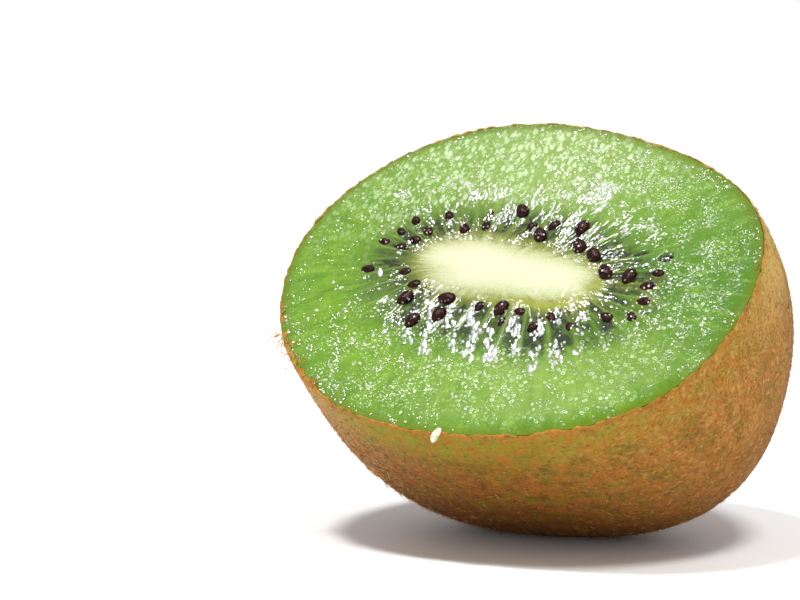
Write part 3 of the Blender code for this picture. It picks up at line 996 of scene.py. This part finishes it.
# gleam is the share of painted highlight in a drop's colour
wetPatches = (  # turn, spread, from and to in mm out, drops per mm², half-width, longest in widths, gleam
    (0, 999, -0.3, 3.0, 3.4, 0.11, 1.8, 0.2),
    (0, 999, -0.9, 1.0, 9.0, 0.05, 1.3, 0.3),
    (0, 999, 0.0, 30.0, 0.8, 0.10, 1.4, 0.1),
    (15, 60, 3.0, 11.0, 1.3, 0.11, 1.4, 0.1),
    (50, 30, 8.0, 30.0, 8.0, 0.075, 1.2, 0.1),
    (5, 28, 6.0, 30.0, 2.5, 0.08, 1.2, 0.1),
    (245, 22, 3.0, 30.0, 3.6, 0.10, 1.3, 0.1),
    (285, 38, 1.8, 8.5, 1.9, 0.16, 2.5, 0.9),  # the columns
    (130, 35, 2.0, 6.0, 1.6, 0.12, 1.6, 0.2),
    (95, 40, 1.5, 7.5, 3.2, 0.085, 7.5, 0.4),
    (285, 40, 0.6, 3.5, 1.8, 0.085, 6.0, 0.6),
    (85, 32, 3.0, 9.0, 0.9, 0.14, 2.0, 0.2),
    (212, 16, 12.0, 30.0, 1.2, 0.09, 1.2, 0.1),
    (330, 30, 7.0, 14.0, 1.4, 0.11, 1.2, 0.1),
)
columnPatch = max(range(len(wetPatches)), key=lambda row: wetPatches[row][-1])  # its drops gleam most
# gleam: the share of painted highlight in a drop's colour
wetSpots = (  # x, y, reach, drops per mm², half-width, longest in widths, gleam
    (4.7, 12.0, 1.5, 14.0, 0.16, 1.8, 0.3),
    (-17.3, 7.7, 0.7, 9.0, 0.14, 1.4, 0.3),
    (9.0, 10.5, 1.6, 5.0, 0.12, 1.6, 0.2),
)


# How many drops each patch and spot wants in a square millimetre at a place.
def wetShares(angle, distance, plane):
    spots = [perArea * np.exp(-((plane[:, 0] - x) ** 2 + (plane[:, 1] - y) ** 2) / reach ** 2)
             for x, y, reach, perArea, *_ in wetSpots]
    return np.concatenate([patches([row[:5] for row in wetPatches], angle, distance), spots])


# How crowded the drops lie: in clusters, and in the column patch in stripes as well.
def crowding(angle, distance, plane, way):
    clusters = 2.0 * softStep(-0.45, 0.45, noise(plane / drops["clusterSize"], 101))
    _, across = turned(plane[:, 0], plane[:, 1], -way)
    wander = 0.22 * noise(plane / 3.1, 102)
    stripe = np.abs(np.sin(np.pi * (across / drops["columnGap"] + wander)))
    columns = 2.6 * softStep(0.50, 0.92, stripe)
    inRows = patch(angle, distance, *drops["columns"])
    return clusters + inRows * (columns * (0.3 + 0.7 * clusters) - clusters)


# Tries places over the whole cut and keeps each by how wet it is there; a place's worth in area is
# the cross product of its steps round and out. A drop is a cap on an ellipse, leaning a little.
def makeDrops():
    rng = np.random.default_rng(drops["draw"])
    luck = rng.random((9, drops["tries"]))
    angle = 2 * np.pi * luck[0]
    _, fibre = cutPlace(angle, 0.0)
    distance = luck[1] * fibre
    here, aside, out = slopes(lambda turn, outwards: cutPlace(turn, outwards)[0], angle, distance)
    area = np.abs(aside[:, 0] * out[:, 1] - aside[:, 1] * out[:, 0]) * 2 * np.pi * fibre / drops["tries"]
    shares = wetShares(angle, distance, here[:, :2])
    way = math.radians(drops["columnWay"])
    wanted = shares.sum(0) * area * crowding(angle, distance, here[:, :2], way)
    kept = (luck[2] < wanted) & (fibre - distance > drops["fromRind"])
    angle, distance, shares, luck = angle[kept], distance[kept], shares[:, kept], luck[:, kept]
    chosen = (luck[3] * shares.sum(0) < np.cumsum(shares, axis=0)).argmax(0)
    half, longest, gleam = np.array([row[-3:] for row in wetPatches + wetSpots])[chosen].T
    half = half * np.exp(1.2 * (luck[4] - 0.5))
    long_ = half * (1.0 + (longest - 1.0) * luck[5])
    slope = between(drops["slope"], luck[6])
    place, attributes = cutFields(angle, distance)
    bent = drops["columnPull"] * (chosen == columnPatch) * softStep(2.0, 4.0, distance)
    outwards = out[kept] + stacked(bent * math.cos(way), bent * math.sin(way), 0.0)
    turn = np.arctan2(outwards[:, 1], outwards[:, 0]) + math.radians(drops["turn"]) * (2.0 * luck[7] - 1.0)
    radius = np.array(drops["rings"])[:, None]
    side = roundTurn(drops["sides"])
    cap = stacked(radius * np.cos(side), radius * np.sin(side), 1.0 - radius ** 2).reshape(-1, 3)
    cap = np.concatenate([cap, [[0.0, 0.0, 1.0], [0.0, 0.0, 0.0]]])
    u, v, w = cap.T[:, None]
    x, y = turned(u * long_[:, None], v * half[:, None], turn[:, None])
    towards, lean, spread = np.radians(drops["lay"])
    offTurn, off = 2 * np.pi * luck[7], spread * bellLuck(luck[8])
    falling = stacked(lean * math.cos(towards) + off * np.cos(offTurn),
                      lean * math.sin(towards) + off * np.sin(offTurn))
    high = w * (slope * half / 2)[:, None] - x * falling[:, :1] - y * falling[:, 1:]
    high = high + (drops["lift"] * np.hypot(*falling.T) * half)[:, None]
    points = stacked(place[:, :1] + x, place[:, 1:2] + y, place[:, 2:] + high)
    points[:, -1, 2] -= drops["foot"]
    # the share of painted highlight in each drop's colour
    attributes["gleam"] = gleam
    # painted shade, darkest at each gleaming drop's rim
    attributes["edge"] = softStep(0.3, 0.9, gleam)[:, None] * np.hypot(cap[:, 0], cap[:, 1])[None] ** 3
    faces = closedFaces(len(drops["rings"]), drops["sides"])
    manyPiece("juice", points, faces, dropFinish, attributes)


makeDrops()

# The rind: a thin bowl, from the inner pole up its inside, over the rim and down its outside.

skin = {
    "columns": 700,
    "rows": 124,
    "innerShares": (0.93, 0.8, 0.62, 0.42, 0.25, 0.12, 0.04, 0.012),  # of the depth, for the inside's rows
    "lastTurn": 88.5,  # degrees, just short of the tip
    "thickness": 0.24,
    "thickEnd": 2.2,
    "raggedness": 0.13,
    "wrinkle": 0.05,
    "wrinkleSize": 0.9,
    "sink": 0.02,  # below the smooth skin
    "pit": 0.05,
    "pitSize": 0.75,
    "pitShare": (0.32, 0.90),  # of the cells that hold a pit, elsewhere and on the worn side
    "wornAt": (234.0, 26.0),  # turn and spread
    # the side where the skin and its hairs are lighter: turn and spread
    "lighterSideAt": (-6.0, 46.0),
    "farAt": (105.0, 75.0),
    "russetAt": (240.0, 30.0),
    "bleachedAt": ((22.0, 18.0, 1.0), (240.0, 20.0, 0.4)),  # and how strong
    "rimWidth": (0.8, 0.6, 0.35),  # how much the rind's width at the cut changes, from broad to short waves
    "rimWaves": (46, 170, 350),
    "rimSectors": ((229.0, 15.0, 1.6), (8.0, 34.0, -0.5)),  # turn, spread and how much wider
    "lumps": ((240.0, 1.6, 0.45), (17.0, 2.5, 0.25), (322.0, 2.0, 0.2)),  # turn, spread and rise
}


# Outward directions of a grid of points: across its columns and down its rows.
def gridNormals(points):
    around = np.roll(points, -1, axis=1) - np.roll(points, 1, axis=1)
    return unit(np.cross(np.gradient(points, axis=0), around))


# Keeps points at or above the table, where the fruit has settled flat.
def settled(points):
    level = points @ upward + fruit["cutMiddle"][2]
    return points + np.maximum(-level, 0.0)[..., None] * upward


# What the skin and its hairs share: where they are, how near the lighter side they are, how worn the skin
# is there, and the painted shade that darkens them towards the table.
def skinFields(home, depth, angle):
    lighterSide = sector(angle, *skin["lighterSideAt"])
    bleached = bells(skin["bleachedAt"], angle)
    return {
        "home": home * mm,
        "depth": depth,
        "lighterSide": lighterSide,
        "worn": sector(angle, *skin["wornAt"]),
        "far": sector(angle, *skin["farAt"]),
        "bleached": bleached * (1.0 - softStep(3.0, 9.0, depth)),
        "russet": sector(angle, *skin["russetAt"]) * softStep(1.0, 7.0, depth),
        # painted shade: the skin darkens towards the table
        "paintedShadeBelow": softStep(5.0, 23.0, depth) * (1.0 - 0.35 * lighterSide),
    }


skinLook = {
    "brown": (0.160, 0.057, 0.006),
    "dark": (0.075, 0.028, 0.006),
    "rust": (0.345, 0.108, 0.010),
    "olive": (0.152, 0.108, 0.007),
    "tan": (0.40, 0.200, 0.036),
    "band": (0.235, 0.178, 0.010),
    "green": (0.15, 0.20, 0.016),
    "rim": (0.34, 0.142, 0.022),
    "ember": (0.37, 0.105, 0.013),
    "farRim": (0.31, 0.25, 0.05),
    "worn": (0.47, 0.275, 0.120),
    "bleached": (0.56, 0.39, 0.13),
    "pale": (0.58, 0.37, 0.14),
    "russet": (0.13, 0.036, 0.008),
    # painted shade, multiplied in towards the table
    "paintedShadeBelow": (0.60, 0.46, 0.46),
    "hairs": {
        0.0: (0.15, 0.050, 0.010),
        0.35: (0.26, 0.098, 0.016),
        0.7: (0.47, 0.222, 0.034),
        1.0: (0.61, 0.38, 0.12),
    },
}


# The rind's colour: brown and olive blotches, a green band under the cut, then rust, dark and pale specks
# by how near the lighter side and how worn the skin is, painted shade darker towards the table, with a tan
# edge at the rim.
def makeSkinMaterial():
    rind = newFinish("rind", skinLook, "brown")
    depth, home = rind.mark("depth"), rind.mark("home", "Vector")
    lighterSide, worn, far = rind.mark("lighterSide"), rind.mark("worn"), rind.mark("far")

    def mottle(size, roughness, flatter):
        return rind.speckle(size, 3.0, roughness, (1.0, 1.0, flatter), home)

    blotch, fleck, fine = mottle(3.0, 0.6, 1.3), mottle(1.2, 0.62, 1.35), mottle(0.42, 0.7, 1.5)
    rind.paint("olive", blotch.ranged(0.40, 0.62))
    rind.paint("worn", worn * 0.8)
    near = (blotch * 6.0 + depth).ranged(9.5, 4.0) * worn.ranged(0.3, 1.0, 1.0, 0.35)
    rind.paint("band", near * 0.85)
    rind.paint("green", near * rind.speckle(2.2).ranged(0.44, 0.60) * 0.8)
    # lighter tan on that side
    rind.paint("tan", lighterSide * blotch.ranged(0.62, 0.36, 0.35, 0.95))
    rind.paint("rust", fleck.ranged(0.50, 0.66) * 0.65)
    rind.paint("ember", mottle(0.75, 0.65, 1.2).ranged(0.48, 0.68) * lighterSide.ranged(0.0, 1.0, 0.4, 0.85))
    darker = (near * -0.40 + 0.50) * lighterSide.ranged(0.2, 1.0, 1.0, 0.6) * worn.ranged(0.1, 0.9, 1.0, 0.35)
    rind.paint("dark", fleck.ranged(0.46, 0.33) * darker)
    rind.paint("tan", fine.ranged(0.54, 0.70) * 0.4)
    rind.paint("dark", fine.ranged(0.46, 0.32) * darker)
    rind.paint("dark", mottle(6.0, 0.6, 1.4).ranged(0.52, 0.70) * darker * 0.2)
    rind.paintMark("bleached", 0.5)
    rind.paint("pale", mottle(0.55, 0.7, 1.2).ranged(0.50, 0.66, 0.0, 0.45) * lighterSide)
    rind.paint("russet", mottle(0.5, 0.68, 1.2).ranged(0.47, 0.58, 0.0, 0.92) * rind.mark("russet"))
    pores = (rind.strewn(0.38, 0.85, 0.42) + rind.strewn(0.62, 0.8, 0.32)).clamped()
    rind.paint("dark", pores * (lighterSide * 0.35 + worn.ranged(0.1, 0.7, 0.12, 0.85)).clamped())
    # painted shade towards the table
    rind.paint("paintedShadeBelow", rind.mark("paintedShadeBelow"), "MULTIPLY")
    rim = rind.over("rim", "farRim", far)
    rim = rind.over(rim, "tan", rind.speckle(0.45, 3.0, 0.7).ranged(0.50, 0.68))
    rim = rind.over(rim, "brown", rind.speckle(0.34, 3.0, 0.7).ranged(0.54, 0.70))
    rim = rind.over(rim, "dark", fleck.ranged(0.47, 0.36) * (far * -0.3 + 0.38))
    rind.paint(rim, (rind.speckle(1.3, 3.0, 0.6) * -3.2 + depth).ranged(-0.9, -1.5))
    return rind.shaded({
        "Roughness": 0.75,
        "Specular IOR Level": 0.12,
        "Normal": rind.bump(fine + fleck, 0.7, 0.10),
        "Subsurface Weight": 0.1,
        "Subsurface Radius": (1.0, 0.5, 0.2),
        "Subsurface Scale": 0.6 * mm,
    })


def makeHairMaterial():
    hair = newFinish("hairs", skinLook)
    light = hair.mark("worn") * 2.0 + hair.mark("lighterSide")
    tint = hair.speckle(1.6) * 0.9 + hair.mark("tint") + light * 0.26 - 0.62
    # painted shade on the hairs towards the table
    tint = tint + hair.mark("paintedShadeBelow") * -0.12
    hair.colour = hair.stops(tint, skinLook["hairs"])
    return hair.shaded({"Roughness": 0.6, "Specular IOR Level": 0.2})


skinFinish = makeSkinMaterial()
hairFinish = makeHairMaterial()


# The outside is the smooth skin, wrinkled and pitted along its normals; the inside follows it at the
# rind's thickness; both end in a ragged rim whose width changes round the cut.
def makeSkin():
    angle = roundTurn(skin["columns"])[None]
    turns = angle / (2 * np.pi)
    down = np.linspace(rimTurn, math.radians(skin["lastTurn"]), skin["rows"])[:, None]
    depth = bowlDepth(down) + 0.0 * angle
    smooth = skinPoint(depth, angle)
    gap, own = grains(smooth / skin["pitSize"], 92)
    pitted = own < between(skin["pitShare"], sector(angle, *skin["wornAt"]))
    relief = skin["wrinkle"] * noise(smooth / skin["wrinkleSize"], 91)
    relief = relief - skin["pit"] * np.maximum(1.0 - (gap / 0.5) ** 2, 0.0) * pitted
    relief = relief * softStep(0.0, 0.6, depth) - skin["sink"]
    outside = smooth + gridNormals(smooth) * relief[..., None]
    lift = skin["raggedness"] * (roundNoise(turns, 240, 93) + 0.6 * roundNoise(turns, 520, 94))
    lift = lift + bells(skin["lumps"], angle)
    outside[..., 2] += lift * (1.0 - softStep(0.0, 0.9, depth))
    inDepth = fruit["depth"] * np.array(skin["innerShares"])[:, None] + 0.0 * angle
    middle = stacked(fruit["lean"][0] * inDepth, fruit["lean"][1] * inDepth, -inDepth)
    wider = sum(width * roundNoise(turns, waves, 95 + n)
                for n, (width, waves) in enumerate(zip(skin["rimWidth"], skin["rimWaves"])))
    wider = wider + bells(skin["rimSectors"], angle)
    thick = 1.0 + np.maximum(wider, -0.2) * (1.0 - softStep(0.3, 1.2, inDepth))
    flat = skinPoint(inDepth, angle) - middle
    inside = middle + flat - unit(flat) * (skin["thickness"] * thick)[..., None]
    rim = outside[0] + (inside[-1] - outside[0]) * np.array([0.92, 0.5])[:, None, None]
    rim[..., 2] = outside[0, :, 2] + np.array([-0.02, 0.03])[:, None]
    rows = settled(np.concatenate([inside, rim, outside]))
    depths = np.concatenate([inDepth, 0.0 * rim[..., 0], depth])
    tip = skinPoint(fruit["depth"], 0.0)
    attributes = skinFields(rows, depths, angle + 0.0 * depths)
    shellPiece("skin", rows, [tip + [0.0, 0.0, skin["thickEnd"]], tip], skinFinish, attributes)


makeSkin()

fuzz = {
    "draw": 733,
    "tries": 90000,
    "perArea": 3.8,  # hairs in a square millimetre
    "length": (0.30, 0.70),
    "longer": 0.9,  # low on the worn side, by this share
    "thickness": (0.030, 0.055),
    "lift": (3.0, 26.0),  # degrees off the skin at the root
    "spread": 38.0,  # degrees off the fruit's circumference
    "forwards": 0.58,  # the share that lie one way round the fruit
    "sunk": 0.02,
    "droop": 0.35,
    "lastTurn": 86.0,  # degrees
    "clearOfTable": 0.3,
    "thinAt": ((285.0, 55.0, 0.6), (228.0, 18.0, 0.5)),  # near the rim: turn, spread and the share missing
}


# Short hairs lying along the skin: a three-sided spike with one bend. Places are tried evenly over
# depth and turn and kept by the skin's area there.
def makeFuzz():
    rng = np.random.default_rng(fuzz["draw"])
    luck = rng.random((9, fuzz["tries"]))
    last = math.radians(fuzz["lastTurn"])
    turn, angle = between((rimTurn, last), luck[0]), 2 * np.pi * luck[1]
    root, down, around = slopes(lambda share, side: skinPoint(bowlDepth(share), side), turn, angle)
    depth = bowlDepth(turn)
    normal = np.cross(down, around)
    area = np.linalg.norm(normal, axis=-1)
    level = root @ upward + fruit["cutMiddle"][2]
    worth = area * (last - rimTurn) * 2 * np.pi / fuzz["tries"]
    nearRim = 1.0 - softStep(2.0, 7.0, depth)
    worn = sector(angle, *skin["wornAt"])
    share = np.maximum(1.0 - bells(fuzz["thinAt"], angle) * nearRim, 0.2) + 0.5 * worn * (1.0 - nearRim)
    kept = (luck[2] < worth * fuzz["perArea"] * share) & (level > fuzz["clearOfTable"])
    root, depth, angle, luck = root[kept], depth[kept], angle[kept], luck[:, kept]
    normal, around = normal[kept] / area[kept, None], unit(around[kept])
    along = np.cross(around, normal)
    spread = math.radians(fuzz["spread"]) * bellLuck(luck[3]) * np.sign(luck[4] - 0.5)
    way = np.where(luck[5] > 1.0 - fuzz["forwards"], 1.0, -1.0)[:, None]
    lying = around * way * np.cos(spread)[:, None] + along * np.sin(spread)[:, None]
    lift = between(np.radians(fuzz["lift"]), luck[6] ** 2)[:, None]
    longer = fuzz["longer"] * sector(angle, *skin["wornAt"]) * softStep(6.0, 12.0, depth)
    long_ = (between(fuzz["length"], luck[7]) * (1.0 + longer))[:, None]
    thick = between(fuzz["thickness"], luck[8])[:, None] / 2
    rising = lying * np.cos(lift) + normal * np.sin(lift)
    root = root - fuzz["sunk"] * normal
    bend = root + rising * long_ * 0.5
    tip = root + rising * long_ - upward * fuzz["droop"] * long_ * luck[4][:, None] ** 2
    top = np.cross(unit(np.cross(rising, normal)), rising)
    corner = roundTurn(3)[None, :, None]
    ring = np.cos(corner) * top[:, None] + np.sin(corner) * np.cross(rising, top)[:, None]
    ring = ring * thick[:, None]
    points = np.concatenate([root[:, None] + ring, bend[:, None] + 0.8 * ring, tip[:, None]], axis=1)
    here = np.arange(3)
    following = (here + 1) % 3
    faces = [np.array([[0, 2, 1]]), stacked(here, following, following + 3, here + 3),
             stacked(here + 3, following + 3, 6)]
    attributes = skinFields(root, depth, angle)
    attributes["tint"] = hashed(np.floor(root * 50.0), 131)
    manyPiece("fuzz", settled(points), faces, hairFinish, attributes)


makeFuzz()

strands = {
    "draw": 419,
    "rings": 12,
    "sides": 5,
    "thickness": 0.045,
    "turns": (0.3, 0.9),
    "placeLuck": (0.6, 0.6, 0.08),
    "wayLuck": (0.28, 0.28, 0.12),
}
strandGroups = (  # x, y and z of the middle, how many, how far strewn, length, curl, and the way they run
    (-19.9, -13.8, 0.0, 9, 0.8, 1.7, 0.22, -0.45, -0.8, 0.05),
    (-18.9, -14.9, 0.0, 18, 0.8, 1.3, 0.26, 0.7, -0.6, 0.1),
    (-16.7, -16.7, 0.0, 18, 1.0, 1.2, 0.28, 0.8, -0.5, 0.1),
    (-12.4, -19.0, 0.1, 9, 0.5, 0.7, 0.26, 0.6, -0.1, 0.3),
    (-21.6, -11.2, 0.0, 5, 0.5, 1.0, 0.15, 0.3, -0.9, 0.1),
    (24.9, 5.5, 0.05, 4, 0.4, 0.9, 0.12, 0.3, 0.8, 0.1),
    (24.4, 6.9, 0.0, 2, 0.2, 1.4, 0.15, 0.9, -0.2, 0.15),
)


# Loose curled fibres: each runs straight on and round in a coil, thinning to its tip.
def makeStrands():
    rng = np.random.default_rng(strands["draw"])
    rows = np.repeat(strandGroups, [row[3] for row in strandGroups], axis=0)
    middle, way, (strewn, long_, curl) = rows[:, :3], rows[:, 7:], rows[:, 4:7].T
    count = len(rows)
    luck = rng.random((5, count))
    root = middle + rng.normal(size=(count, 3)) * strewn[:, None] * strands["placeLuck"]
    way = unit(way + rng.normal(size=(count, 3)) * strands["wayLuck"])
    first = unit(np.cross(way, [0.2, 0.1, 1.0]))
    second = np.cross(way, first)
    long_, curl = long_ * (0.5 + luck[0]), curl * (0.4 + 1.2 * luck[1])
    along = np.linspace(0.0, 1.0, strands["rings"])[None]
    begun = 2 * np.pi * luck[2][:, None]
    coil = begun + 2 * np.pi * between(strands["turns"], luck[3])[:, None] * along
    path = root[:, None] + way[:, None] * (long_[:, None] * along)[..., None]
    path = path + first[:, None] * (curl[:, None] * (np.cos(coil) - np.cos(begun)))[..., None]
    path = path + second[:, None] * (curl[:, None] * 0.6 * (np.sin(coil) - np.sin(begun)))[..., None]
    corner = roundTurn(strands["sides"])[None, None, :, None]
    ring = np.cos(corner) * first[:, None, None] + np.sin(corner) * second[:, None, None]
    thick = strands["thickness"] * (1.0 - 0.7 * along[..., None, None] ** 2)
    points = (path[:, :, None] + ring * thick).reshape(count, -1, 3)
    points = np.concatenate([points, path[:, :1], path[:, -1:]], axis=1)
    flat = np.zeros(count)
    attributes = {"tint": 0.55 + 0.45 * luck[4], "lighterSide": flat + 0.4, "worn": flat, "paintedShadeBelow": flat}
    faces = turnedOver(closedFaces(strands["rings"], strands["sides"]))
    manyPiece("strands", settled(points), faces, hairFinish, attributes)


makeStrands()

fleck = {
    "angle": -82.2,  # degrees round the rim
    "out": 0.22,
    "rise": 0.1,
    "size": (1.7, 0.74, 0.5),
    "lean": 0.62,
    "bend": 0.25,
    "taper": 1.05,
    "lumps": (0.07, 2.3),  # their height as a share, and how many to the half-length
    "rings": 12,
    "sides": 14,
    "colour": (0.74, 0.71, 0.60),
    "tip": (0.45, 0.36, 0.20),
}


def makeFleckMaterial():
    pith = newFinish("paleFleck", fleck, "colour")
    pith.paint("tip", pith.speckle(0.5, 3.0, 0.6).ranged(0.52, 0.72))
    return pith.shaded({"Roughness": 0.45, "Specular IOR Level": 0.3})


# One pale almond-shaped bit of pith that hangs on the rim: a lumpy ball, bent and laid along its way.
def makeFleck():
    ball = ballRows(fleck["rings"], fleck["sides"], fleck["taper"])
    ball = ball * (1.0 + fleck["lumps"][0] * noise(ball * fleck["lumps"][1], 141))[..., None]
    ball[..., 1] += fleck["bend"] * ball[..., 0] ** 2
    long_ = unit(upward + np.array([fleck["lean"], 0.0, 0.0]))
    wideWay = unit(np.cross(long_, [0.0, -1.0, 0.0]))
    ways = np.stack([long_, wideWay, np.cross(long_, wideWay)])
    place = skinPoint(0.0, math.radians(fleck["angle"])) + [0.0, -fleck["out"], fleck["rise"]]
    half = np.array(fleck["size"]) / 2
    ends = place + (np.array([[-1.0, fleck["bend"], 0.0], [1.0, fleck["bend"], 0.0]]) * half) @ ways
    rows = place + (ball * half) @ ways
    shellPiece("pith_fleck", rows[:, ::-1], list(ends), makeFleckMaterial(), {})


makeFleck()
